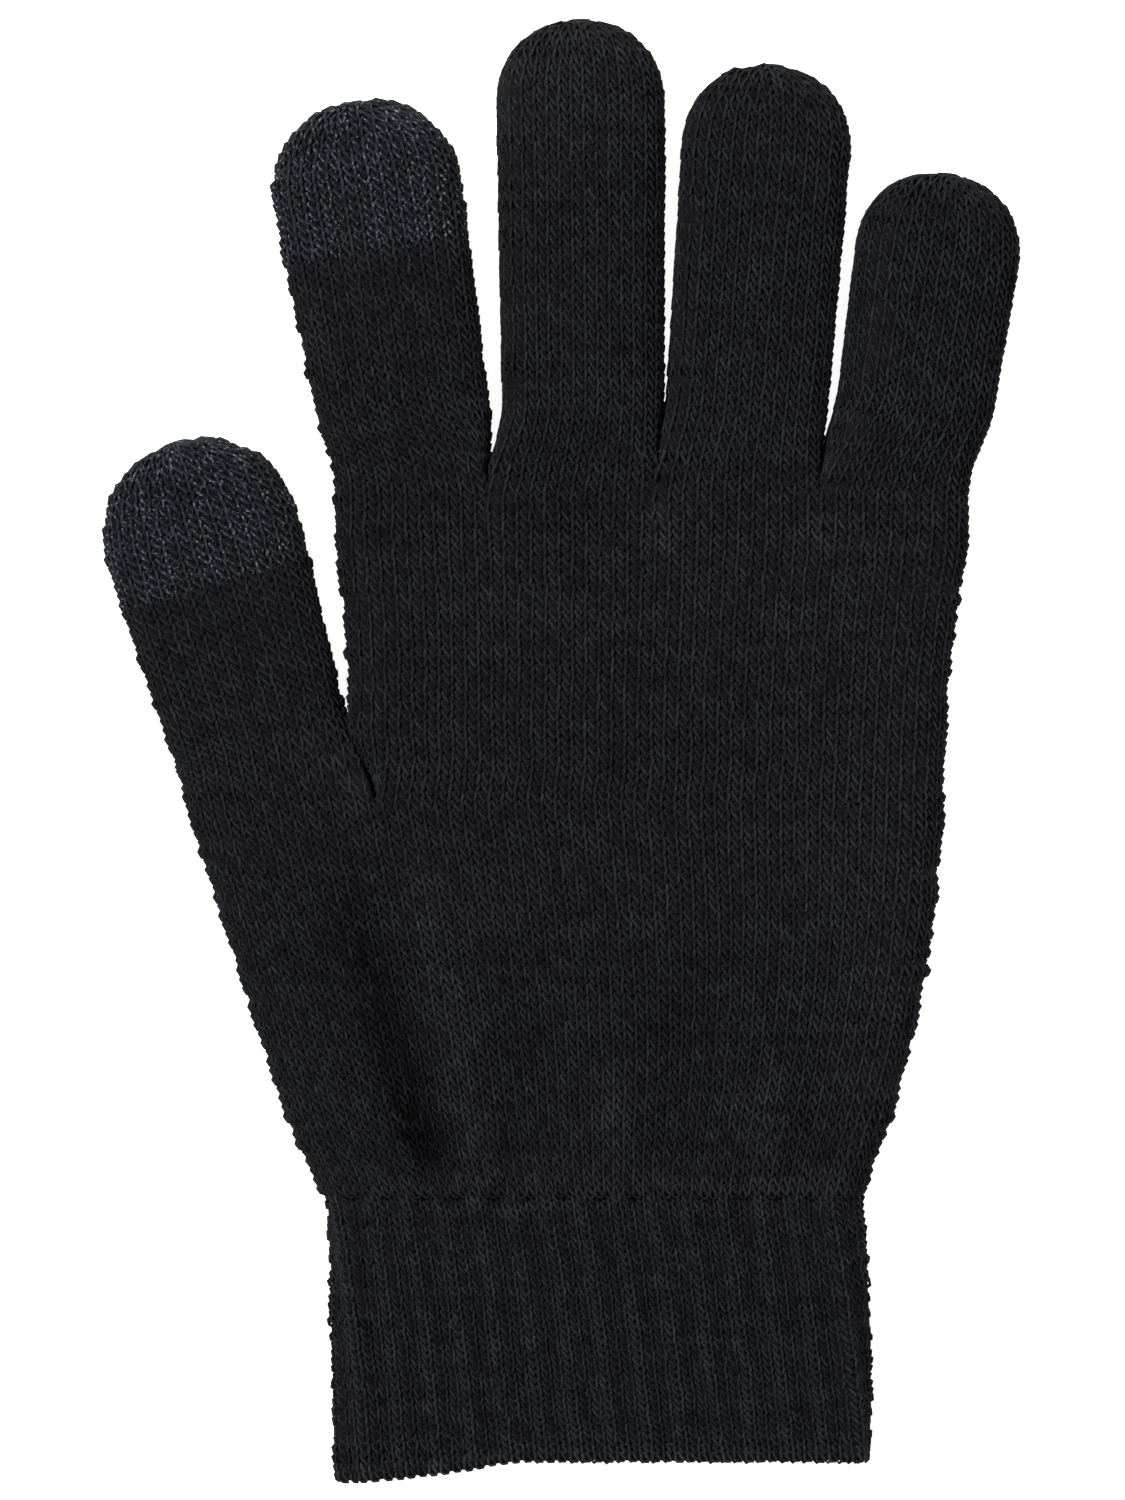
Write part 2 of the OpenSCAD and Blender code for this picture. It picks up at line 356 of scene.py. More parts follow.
PATCHES = (
    Patch(-25.5, -42.0, 26.0, 3.6, -16.5, -0.42),
    Patch(-21.5, -56.5, 9.0, 2.6, -20.0, -0.34),
    Patch(-31.0, -38.0, 24.0, 8.0, -16.5, -0.16),
    Patch(-15.5, -42.0, 24.0, 3.2, -10.0, 0.32),
    Patch(-7.3, -48.0, 16.0, 3.4, 0.0, -0.2),
    Patch(7.3, -55.0, 8.0, 2.6, 0.0, 0.4),
    Patch(16.4, -47.0, 15.0, 4.0, 0.0, -0.26),
    Patch(29.0, -55.0, 10.0, 3.0, 0.0, 0.3),
    Patch(35.6, -55.0, 8.0, 2.6, 0.0, -0.14),
    Patch(14.2, 32.7, 4.0, 2.6, 0.0, 0.6),
    Patch(39.0, 31.4, 3.0, 5.0, 0.0, 0.5),
    Patch(-30.0, -7.3, 3.4, 3.0, 0.0, 0.3),
    Patch(-1.0, 99.0, 12.0, 16.0, 0.0, 0.3),
    Patch(47.0, -22.0, 34.0, 12.0, -4.0, 0.2),
    Patch(5.0, -66.5, 2.6, 44.0, 0.0, 0.16),
    Patch(-26.0, 38.0, 20.0, 7.0, -9.0, -0.1),
    Patch(1.0, 38.0, 14.0, 6.0, 0.0, -0.12),
)


def shade_and_wear(points: Array) -> Array:
    """Add up the painted shade and light, and the lighter fuzz, that the patches give the yarn at each point
    of the upper face.
    """
    upper = smoothstep((points[:, 2] - 4.0) / 3.0)
    return upper * sum(patch.strength(points) for patch in PATCHES)


# -------- knitting


@dataclass(frozen=True)
class Stitch:
    """The shape of one loop.

    The half height is in courses, and the swing and the lean are in wales. The other lengths are in mm. The
    ground is how far the web between the loops lies behind their middle.
    """

    radius: float = 0.275
    half_height: float = 0.84
    swing: float = 0.265
    depth: float = 0.34
    lean: float = 0.225
    ground: float = 0.05
    web_edge_lift: float = 0.3
    web_thickness: float = 0.1
    rib_depth: float = 0.0
    front_samples: int = 9
    back_samples: int = 6


@dataclass(frozen=True)
class Looseness:
    """How unevenly the yarn lies and how hairy it is.

    The bumps and the hair's radius are in mm, the sway is in wales, and the hairs are counted for each loop.
    The rest are shares of the loop's own measures and tone.
    """

    height: float = 0.08
    depth: float = 0.12
    edge_depth: float = 0.6
    sway: float = 0.05
    radius: float = 0.06
    bumps: float = 0.15
    leg_tone: float = 0.16
    course_tone: float = 0.05
    # Painted shade in the rib's sunken wales, as a share of the tone.
    valley_shade: float = 0.2
    hairs: float = 0.4
    hair_radius: float = 0.024


class Grid:
    """A fabric surface: rings of points round a tube, one ring to each course."""

    def __init__(self, rings: Array) -> None:
        """Keep the rings and work out which way the fabric faces.

        Args:
            rings: Courses by places round by x, y, z. The first ring is course -1.
        """
        self.rings = rings
        self.count = rings.shape[1]
        along = np.gradient(rings, axis=0)
        around = np.roll(rings, -1, axis=1) - np.roll(rings, 1, axis=1)
        self.normals = unit(np.cross(along, around))
        # The normals have to point out of the tube.
        outward = rings - rings.mean(axis=1, keepdims=True)
        if (outward * self.normals).sum() < 0:
            self.normals = -self.normals

    def sample(self, at: Array, course: Array) -> tuple[Array, Array]:
        """Read the surface between its points.

        Args:
            at: Places round the tube, from 0 to 1.
            course: Courses, counted from the tube's first.

        Returns:
            Points and unit normals.
        """
        x = (np.asarray(at) % 1.0) * self.count
        y = np.clip(np.asarray(course) + 1, 0, len(self.rings) - 1.0001)
        i, j = np.floor(x).astype(int) % self.count, np.floor(y).astype(int)
        fx, fy = (x - np.floor(x))[..., None], (y - j)[..., None]
        k = (i + 1) % self.count
        found = []
        for source in (self.rings, self.normals):
            low = source[j, i] * (1 - fx) + source[j, k] * fx
            high = source[j + 1, i] * (1 - fx) + source[j + 1, k] * fx
            found.append(low * (1 - fy) + high * fy)
        return found[0], unit(found[1])


@dataclass
class MeshParts:
    """Vertices, faces and the yarn map of a piece while it is gathered."""

    verts: list[Array] = field(default_factory=list)
    faces: list[Array] = field(default_factory=list)
    maps: list[Array] = field(default_factory=list)
    slots: list[Array] = field(default_factory=list)
    tones: list[Array] = field(default_factory=list)
    total: int = 0

    def add(self, verts: Array, faces: Array, uv: Array, slot: int, tone: Array | float = 0.0) -> None:
        """Add a stretch of mesh.

        Args:
            verts: Points, in mm.
            faces: Quads, as indices into verts.
            uv: One pair for each corner of each quad.
            slot: The material slot.
            tone: How much lighter or darker than its dye the yarn is, at each point or all over, with the
                painted shade of the rib's sunken wales included.
        """
        self.tones.append(tone + np.zeros(len(verts)))
        self.verts.append(verts)
        self.faces.append(faces + self.total)
        self.maps.append(uv)
        self.slots.append(np.full(len(faces), slot))
        self.total += len(verts)

    def build(self, name: str, finishes: list[Material]) -> Piece:
        """Make the object.

        Args:
            name: The piece's name.
            finishes: The materials, in slot order.

        Returns:
            The new object, at the origin.
        """
        mesh = bpy.data.meshes.new(name)
        faces = np.vstack(self.faces)
        mesh.from_pydata((np.vstack(self.verts) * MM).tolist(), [], faces.tolist())
        layer = mesh.uv_layers.new(name="yarn")
        layer.data.foreach_set("uv", np.vstack(self.maps).astype(np.float32).ravel())
        for finish in finishes:
            mesh.materials.append(finish)
        mesh.polygons.foreach_set("material_index", np.concatenate(self.slots).astype(np.int32))
        mesh.polygons.foreach_set("use_smooth", np.ones(len(faces), dtype=bool))
        # Painted shade and light at each point: the patches and the rib's painted valley shade, with the
        # yarn's own random tone.
        shade = mesh.attributes.new("shade_and_wear", "FLOAT", "POINT")
        level = shade_and_wear(np.vstack(self.verts)) + np.concatenate(self.tones)
        shade.data.foreach_set("value", level.astype(np.float32))
        mesh.update()
        made = bpy.data.objects.new(name, mesh)
        bpy.context.collection.objects.link(made)
        return made


def sweep(path: Array, facing: Array, radius: Array, sides: int, closed: bool) -> Sweep:
    """Sweep a round yarn along a path.

    Args:
        path: Points along the yarn.
        facing: A vector at each point that the yarn's first side turns towards.
        radius: The yarn's radius at each point.
        sides: Sides of its section.
        closed: Whether its end joins its start.

    Returns:
        Vertices, quads and the yarn map: length along in mm and turns round.
    """
    count = len(path)
    if closed:
        ahead = np.roll(path, -1, axis=0) - np.roll(path, 1, axis=0)
    else:
        ahead = np.gradient(path, axis=0)
    ahead = unit(ahead)
    up = unit(facing - (facing * ahead).sum(-1, keepdims=True) * ahead)
    side = np.cross(ahead, up)
    turn = 2 * np.pi * np.arange(sides) / sides
    ring = up[:, None] * np.cos(turn)[None, :, None] + side[:, None] * np.sin(turn)[None, :, None]
    verts = (path[:, None] + ring * radius[:, None, None]).reshape(-1, 3)
    steps = np.arange(count if closed else count - 1)
    i, k = np.meshgrid(steps, np.arange(sides), indexing="ij")
    j, m = (i + 1) % count, (k + 1) % sides
    faces = np.stack([i * sides + k, i * sides + m, j * sides + m, j * sides + k], -1).reshape(-1, 4)
    length = np.r_[0, np.cumsum(np.linalg.norm(np.diff(path, axis=0), axis=1))]
    if closed:
        length = np.r_[length, length[-1] + np.linalg.norm(path[0] - path[-1])]
    a, b = length[i], length[i + 1]
    uv = np.stack([a, k / sides, a, (k + 1) / sides, b, (k + 1) / sides, b, k / sides], -1)
    return verts, faces, uv.reshape(-1, 2)


class Knitter:
    """Knits courses of yarn over a surface."""

    def __init__(self, stitch: Stitch, seed: int) -> None:
        """Choose the stitch and start its random stream.

        Args:
            stitch: The shape of the loops.
            seed: The seed of this knitter's own random stream.
        """
        self.stitch = stitch
        self.play = Looseness()
        self.tone = np.zeros(0)
        self.random = np.random.default_rng(seed)

    def course(self, grid: Grid, number: float, wales: int, shift: float) -> Sweep:
        """Lay one closed course of loops.

        Args:
            grid: The surface.
            number: Which course, counted from the tube's first.
            wales: How many loops go round.
            shift: Where the first loop starts, in wales from the left edge.

        Returns:
            The sweep's vertices, quads and yarn map.
        """
        s, play = self.stitch, self.play
        pieces = []
        for wale in range(wales):
            front = ((wale + 0.5 + shift) / wales) % 1 < 0.5
            n = s.front_samples if front else s.back_samples
            pieces.append(wale + np.arange(n) / n)
        t = np.concatenate(pieces)
        wale = np.floor(t).astype(int)
        loose = self.random.normal(0, 1, (4, wales))
        loose = (loose + np.roll(loose, 1, axis=1)) / 1.6
        along = s.half_height * (1 + play.height * loose[0][wale]) * np.cos(2 * np.pi * t)
        across = t + s.swing * np.sin(4 * np.pi * t) - s.lean * along
        edge = self.edge((t + shift) / wales)
        deeper = 1 + play.depth * loose[1][wale] + play.edge_depth * edge
        out = -s.depth * np.cos(4 * np.pi * t) * deeper
        out = out + self.ridge(across)
        across = across + play.sway * loose[2][wale]
        point, normal = grid.sample((across + shift) / wales, number + 0.5 + along)
        drift = self.random.normal(0, play.bumps, max(wales // 6, 2))
        places = np.arange(len(drift) + 1)
        lumps = (0.25 + edge) * np.interp(t / wales * len(drift), places, np.r_[drift, drift[0]])
        path = point + normal * (out + lumps)[:, None]
        radius = s.radius * (1 + play.radius * loose[3][wale])
        leg = self.random.normal(0, play.leg_tone, 2 * wales)[np.floor(2 * t).astype(int)]
        level = leg + self.random.normal(0, play.course_tone)
        # Painted shade darkens the rib's sunken wales; the leg and course tones are the yarn's own random
        # tone.
        tone = level - play.valley_shade * (s.rib_depth - self.ridge(across))
        self.tone = np.repeat(tone, 4)
        return sweep(path, normal, radius, 4, closed=True)

    @staticmethod
    def edge(at: Array) -> Array:
        """Give 1 on the folded edges of a flat tube, fading to 0 on its faces."""
        return np.exp(-((np.sin(2 * np.pi * at) / 0.25) ** 2))

    def ridge(self, across: Array) -> Array:
        """Work out how far the mock rib stands out: two wales rise and every third sinks back."""
        return self.stitch.rib_depth * np.cos(2 * np.pi * (across - 1.0) / 3)

    def fuzz(self, grid: Grid, first: float, last: float, count: int) -> list[Sweep]:
        """Pull loose fibre ends out of the yarn, each a thin curved hair that tapers to a point.

        Args:
            grid: The surface.
            first: The course where they start.
            last: The course where they end.
            count: How many there are.

        Returns:
            One sweep for each hair.
        """
        r = self.random
        at, course = r.random(count), r.uniform(first, last, count)
        point, normal = grid.sample(at, course)
        aside = unit(r.normal(0, 1, (count, 3)))
        flat = aside - normal * (aside * normal).sum(-1)[:, None]
        start = unit(normal * r.uniform(0.15, 0.7, (count, 1)) + 0.9 * flat)
        curl = unit(r.normal(0, 1, (count, 3))) * 0.5
        length = r.uniform(0.5, 1.5, count)
        hairs = []
        steps = np.linspace(0, 1, 4)[:, None]
        for i in range(count):
            path = point[i] + normal[i] * 0.2 + length[i] * (start[i] * steps + curl[i] * steps**2)
            path[:, 2] = np.maximum(path[:, 2], 0.05)
            taper = self.play.hair_radius * (1.02 - steps[:, 0])
            hairs.append(sweep(path, normal[i] + 0.01 + 0 * path, taper, 3, closed=False))
        return hairs

    def ground(self, grid: Grid, first: float, last: float, around: int, turns: Array) -> Sweep:
        """Make the thin web of fibre that closes the gaps between the loops, a sheet darkened as painted
        shade.

        Args:
            grid: The surface.
            first: The course where it starts.
            last: The course where it ends.
            around: Points round the tube.
            turns: Wales round the tube and how far they shift with each course.

        Returns:
            Vertices, quads and a plain map of a closed ring of fabric.
        """
        rows = max(int(round(last - first)), 1) + 1
        courses = np.linspace(first, last, rows)
        at = np.arange(around) / around
        f, c = np.meshgrid(at, courses)
        point, normal = grid.sample(f, c)
        s = self.stitch
        lift = self.ridge(f * turns[0] - c * turns[1]) - s.ground + s.web_edge_lift * self.edge(f)
        lift = lift[..., None]
        outer, inner = point + lift * normal, point + (lift - s.web_thickness) * normal
        verts = np.vstack([outer.reshape(-1, 3), inner.reshape(-1, 3)])
        base = rows * around
        k = np.arange(around)
        m = (k + 1) % around
        row = around * np.arange(rows - 1)[:, None]
        skin = np.stack([row + k, row + m, row + around + m, row + around + k], -1).reshape(-1, 4)
        lining = skin[:, ::-1] + base
        start = np.stack([k + base, m + base, m, k], -1)
        far = (rows - 1) * around
        end = np.stack([k + far, m + far, m + far + base, k + far + base], -1)
        faces = np.vstack([skin, lining, start, end])
        uv = np.tile(np.array([[0, 0], [1, 0], [1, 1], [0, 1]], float), (len(faces), 1))
        return verts, faces, uv


@dataclass
class Tube:
    """A knitted tube: its surface and how many wales go round at each course."""

    grid: Grid
    wales: list[int]
    shifts: list[float]

    def knit(
        self, name: str, first: int, last: int, knitter: Knitter, finish: Material, web: Material
    ) -> Piece:
        """Knit the courses from first up to last into one piece.

        Args:
            name: The piece's name.
            first: Its first course.
            last: The course after its last.
            knitter: What lays the yarn.
            finish: The yarn's material.
            web: The finish of the ground between the loops, dark as painted shade in the gaps.

        Returns:
            The new piece.
        """
        parts = MeshParts()
        for j in range(first, last):
            course = knitter.course(self.grid, j, self.wales[j], self.shifts[j])
            parts.add(*course, 0, knitter.tone)
        hairs = int((last - first) * self.wales[first] * knitter.play.hairs)
        for hair in knitter.fuzz(self.grid, first, last, hairs):
            parts.add(*hair, 0)
        turns = np.array([self.wales[0], self.shifts[1] - self.shifts[0]])
        parts.add(*knitter.ground(self.grid, first, last, self.wales[first] * 2, turns), 1)
        return parts.build(name, [finish, web])


# -------- the hand's shape


@dataclass
class HandShape:
    """Edges of the hand from the wrist to the fingers, as [Y, left, right, thickness]."""

    rib_line: float = -66.0
    thumb_line: float = -8.0
    finger_line: float = 32.0
    crown: float = 1.0
    course: float = 1.346
    lower_wales: int = 120
    upper_wales: int = 96
    finger_share: float = 12.0
    thumb_share: int = 16
    crease_start: tuple[float, float] = (-33.0, -13.0)
    crease_end: tuple[float, float] = (-18.4, -64.5)
    crease_depth: float = 2.2
    valley_width: float = 2.9
    swell_offset: float = 8.0
    swell_width: float = 4.5
    gather_pitch: float = 22.5
    gather_depth: float = 0.5
    thumb_blend: float = 9.0
    rows: Rows = (
        (-80.0, -34.6, 45.2, 11.0),
        (-66.0, -35.4, 44.5, 11.0),
        (-61.5, -38.0, 46.2, 11.6),
        (-57.0, -40.0, 48.0, 12.0),
        (-46.0, -43.8, 51.4, 12.5),
        (-34.0, -47.7, 53.8, 13.0),
        (-22.0, -51.6, 55.4, 13.0),
        (-8.0, -55.9, 56.6, 12.5),
        (6.0, -60.0, 56.9, 12.5),
    )
    upper_rows: Rows = (
        (-20.0, -25.4, 55.4, 12.5),
        (-8.0, -30.0, 56.6, 12.5),
        (2.0, -32.0, 56.8, 12.8),
        (8.0, -31.8, 57.1, 12.7),
        (16.0, -32.0, 57.8, 12.5),
        (32.0, -33.9, 60.4, 10.6),
        (40.0, -34.9, 61.4, 10.6),
    )

    def ring(self, y: float, rows: Rows, at: Array) -> Array:
        """Points round the hand at a Y.

        Args:
            y: Where along the hand.
            rows: The edges to follow.
            at: Places round, from 0 at the left edge.

        Returns:
            x, y, z of each place, on the middle of the fabric.
        """
        left, right, height = (float(eased(y, rows, c)) for c in (1, 2, 3))
        inset = FABRIC_INSET
        xz = outline(right - left - 2 * inset, height - 2 * inset, self.crown, inset, at)
        x = xz[:, 0] + (left + right) / 2
        z = xz[:, 1] - self.crease(x, y) * smoothstep((xz[:, 1] - height / 2) / 2)
        return np.c_[x, np.full(len(at), y), z]

    def crease(self, x: Array, y: float) -> Array:
        """Work out how far the palm sinks along its long soft crease, and swells beside it.

        Args:
            x: Places across the palm.
            y: Where along the hand.

        Returns:
            How far the upper face sinks, in mm.
        """
        start, end = np.array(self.crease_start), np.array(self.crease_end)
        line = start[0] + (end[0] - start[0]) * (y - start[1]) / (end[1] - start[1])
        along = (start[1] - y) / (start[1] - end[1])
        strength = float(smoothstep(along * 1.3) * smoothstep((1.06 - along) * 7))
        valley = np.exp(-(((x - line) / self.valley_width) ** 2))
        swell = np.exp(-(((x - line - self.swell_offset) / self.swell_width) ** 2))
        gathers = smoothstep((-26 - y) / 20) * smoothstep((y + 68) / 8) * smoothstep((x + 14) / 8)
        waves = self.gather_depth * gathers * np.cos(2 * np.pi * (x + 7.0) / self.gather_pitch)
        return strength * self.crease_depth * (valley - 0.4 * swell) + waves

    def lower(self) -> Tube:
        """Build the five-finger section.

        Returns:
            The tube from the rib to the thumb.
        """
        courses = int(round((self.thumb_line - self.rib_line) / self.course))
        step = (self.thumb_line - self.rib_line) / courses
        at = places_round(self.lower_wales)
        rings = [self.ring(self.rib_line + step * j, self.rows, at) for j in range(-1, courses + 2)]
        return Tube(Grid(np.array(rings)), [self.lower_wales] * courses, [0.0] * courses)

    def share(
        self, ring: Array, wales: int, first: float, count: float, walls: tuple[float, float]
    ) -> Array:
        """Take the loop of wales that a finger grows from, closed by the finger's own walls.

        Args:
            ring: Points on the section, two to a wale.
            wales: Wales round the section.
            first: The first front wale taken.
            count: How many are taken from the front, and as many from the back.
            walls: Wales of new wall on the right and on the left.

        Returns:
            Points round the finger's root, two to a wale, from its first front wale.
        """
        size = 2 * wales
        begin, points = int(2 * first), int(2 * count)
        back_start = size - begin - points
        front = ring[[(begin + i) % size for i in range(points)]]
        back = ring[[(back_start + i) % size for i in range(points)]]
        corner_top, corner_under = ring[(begin + points) % size], ring[back_start % size]
        left_under, left_top = ring[(size - begin) % size], ring[begin % size]
        down = np.arange(int(2 * walls[0]))[:, None] / max(2 * walls[0], 1)
        up = np.arange(int(2 * walls[1]))[:, None] / max(2 * walls[1], 1)
        right_wall = corner_top + (corner_under - corner_top) * down
        left_wall = left_under + (left_top - left_under) * up
        return np.vstack([front, right_wall, back, left_wall])

    def upper(self) -> Tube:
        """Build the four-finger section.

        Returns:
            The tube from the thumb to the fingers.
        """
        courses = int(round((self.finger_line - self.thumb_line) / self.course))
        step = (self.finger_line - self.thumb_line) / courses
        wales = self.upper_wales
        wall = wales - 2 * (self.lower_wales // 2 - self.thumb_share)
        low = self.ring(self.thumb_line, self.rows, places_round(self.lower_wales))
        kept = self.lower_wales // 2 - self.thumb_share
        root = self.share(low, self.lower_wales, self.thumb_share, kept, (0, wall))
        root = np.roll(root, wall, axis=0)
        at = places_round(wales)
        rings = []
        for j in range(-1, courses + 2):
            y = self.thumb_line + step * j
            b = smoothstep((y - self.thumb_line) / self.thumb_blend)
            own = self.ring(y, self.upper_rows, at)
            shared = root + (0, y - self.thumb_line, 0)
            rings.append(shared * (1 - b) + own * b)
        return Tube(Grid(np.array(rings)), [wales] * courses, [0.0] * courses)


@dataclass
class Digit:
    """A finger or the thumb: its axis, widths and the share of the hand that it grows from."""

    name: str
    root_x: float
    root_y: float
    lean: float
    root_width: float
    tip_width: float
    length: float
    turn_start: float = 4.0
    turn_length: float = 16.0
    root_lean: float = 0.0
    tip_stretch: float = 1.0
    height: float = 10.6
    crown: float = 1.0
    course: float = 1.4
    wales: int = 32

    def centre(self, s: Array | float) -> tuple[float, float]:
        """Find x and y of the axis at a distance from the root."""
        a = math.radians(self.lean)
        return self.root_x + math.sin(a) * s, self.root_y + math.cos(a) * s

    def tube(self, root: Array, left_walls: float) -> Tube:
        """Build the digit's surface.

        Args:
            root: Points round the root, two to a wale, from the first front wale.
            left_walls: Wales of new wall on the left, before the first front wale.

        Returns:
            The tube from the root to the closed tip.
        """
        inset = FABRIC_INSET
        a = math.radians(self.lean)
        across = np.array([math.cos(a), -math.sin(a), 0.0])
        thick = self.height - 2 * inset
        tip_radius = self.tip_width / 2 - inset
        end = self.length - inset + TIP_REACH
        flat = end - thick / 2
        total = flat + thick / 2 * math.pi / 2
        courses = int((total - 0.9) / self.course)
        spread = places_round(self.wales)
        offset = left_walls / 2 / self.wales
        rings, wales, shifts = [], [], []
        for j in range(-1, courses):
            s = self.course * j
            bend = np.clip((s - flat) / (thick / 2), 0, 1.5)
            reach = s if s < flat else flat + thick / 2 * math.sin(bend)
            height = thick * max(math.cos(bend), 0.12)
            grown_to = min(max(s, 0) / (end - tip_radius), 1)
            width = self.root_width + (self.tip_width - self.root_width) * grown_to
            width -= 2 * inset
            dome = tip_radius * self.tip_stretch
            into = max(reach - (end - dome), 0) / dome
            width *= max(1 - into**SHOULDER, 0.01) ** (1 / SHOULDER)
            rise = self.crown * height / self.height
            xz = outline(max(width, height), height, rise, inset + (thick - height) / 2, spread + offset)
            x, y = self.centre(reach)
            own = np.array([x, y, 0]) + xz[:, :1] * across + np.c_[np.zeros((len(xz), 2)), xz[:, 1]]
            b = float(smoothstep((s - self.turn_start) / self.turn_length))
            grown = root + (math.sin(math.radians(self.root_lean)) * s, s, 0)
            rings.append(grown * (1 - b) + own * b)
            if j >= 0:
                around = (max(width, height) - height + math.pi * height / 2) * 2
                full = (self.tip_width - 2 * inset - thick + math.pi * thick / 2) * 2
                share = around / full if into > 0.15 or bend > 0 else 1.0
                fewer = int(round(self.wales * (1 - min(share, 1)) / 4))
                wales.append(max(self.wales - 4 * fewer, 6))
                shifts.append(0.0)
        x, y = self.centre(end)
        pole = np.array([x, y, self.height / 2])
        rings += [rings[-1] * (1 - b) + pole * b for b in (0.5, 0.9, 0.99)]
        return Tube(Grid(np.array(rings)), wales + [8], shifts + [0.0])

    def closing_yarn(self, name: str, finish: Material) -> Piece:
        """Coil the yarn end that draws the last loops together on the tip.

        Args:
            name: The piece's name.
            finish: The yarn's material.

        Returns:
            The new piece.
        """
        count = 40
        turns = np.linspace(0, 1, count)
        a = math.radians(self.lean)
        angle = 2 * np.pi * 2.2 * turns
        radius = 1.15 - 0.85 * turns
        ahead = np.array([math.sin(a), math.cos(a), 0])
        aside = np.array([math.cos(a), -math.sin(a), 0])
        x, y = self.centre(self.length - FABRIC_INSET + TIP_REACH - 0.1)
        middle = np.array([x, y, self.height / 2])
        lift = 0.25 * np.sin(np.pi * turns)
        path = middle + aside * (1.5 * radius * np.cos(angle))[:, None] + ahead * lift[:, None]
        path[:, 2] += 0.7 * radius * np.sin(angle)
        parts = MeshParts()
        thickness = 0.3 * np.sqrt(1.001 - (2 * turns - 1) ** 8)
        parts.add(*sweep(path, np.tile(ahead, (count, 1)), thickness, 8, closed=False), 0)
        return parts.build(name, [finish])


@dataclass
class CuffShape:
    """The ribbed cuff, whose ribs lean a little to the left as they rise."""

    top: float = -66.0
    mouth: float = -106.6
    corner_drop: float = 2.2
    height: float = 11.0
    crown: float = 1.0
    course: float = 1.14
    wales: int = 96
    lean: float = 5.0
    tuck: float = 1.1
    inset: float = 0.85
    rows: Rows = (
        (-110.0, -33.9, 46.0),
        (-104.0, -34.1, 46.0),
        (-92.0, -34.2, 45.9),
        (-78.0, -34.5, 45.4),
        (-66.0, -35.4, 44.5),
        (-61.5, -38.0, 46.2),
    )

    def ring(self, y: float, at: Array) -> Array:
        """Points round the cuff at a Y, with the mouth's slant and its shorter upper face.

        Args:
            y: Where along the cuff.
            at: Places round, from 0 at the left edge.

        Returns:
            x, y, z of each place, on the middle of the fabric.
        """
        left, right = (float(eased(y, self.rows, c, 3)) for c in (1, 2))
        inset = self.inset
        height = self.height - 2 * inset
        xz = outline(right - left - 2 * inset, height, self.crown, inset, at)
        near = float(smoothstep(1 - (y - self.mouth) / 14.0))
        x = xz[:, 0] + (left + right) / 2
        drop = self.corner_drop * (1 - smoothstep((x + 33) / 26)) * near
        upper = self.tuck * np.clip((xz[:, 1] - inset) / height, 0, 1) * smoothstep((x + 16) / 12) * near
        return np.c_[x, y - drop + upper, xz[:, 1]]

    def tube(self) -> Tube:
        """Build the cuff's surface.

        Returns:
            The tube from the mouth up to the hand.
        """
        low = self.mouth + 0.4
        courses = int(round((self.top - low) / self.course))
        step = (self.top - low) / courses
        at = places_round(self.wales)
        rings = np.array([self.ring(low + step * j, at) for j in range(-1, courses + 2)])
        pitch = 2 * (45.9 + 34.2) / self.wales
        per_course = -math.tan(math.radians(self.lean)) * step / pitch
        shifts = [per_course * j for j in range(courses)]
        return Tube(Grid(rings), [self.wales] * courses, shifts)


# -------- the glove


@dataclass(frozen=True)
class Bend:
    """A joint that a length of fabric crosses: its two bodies and where along the digit it turns."""

    near: str
    far: str
    start: float
    end: float


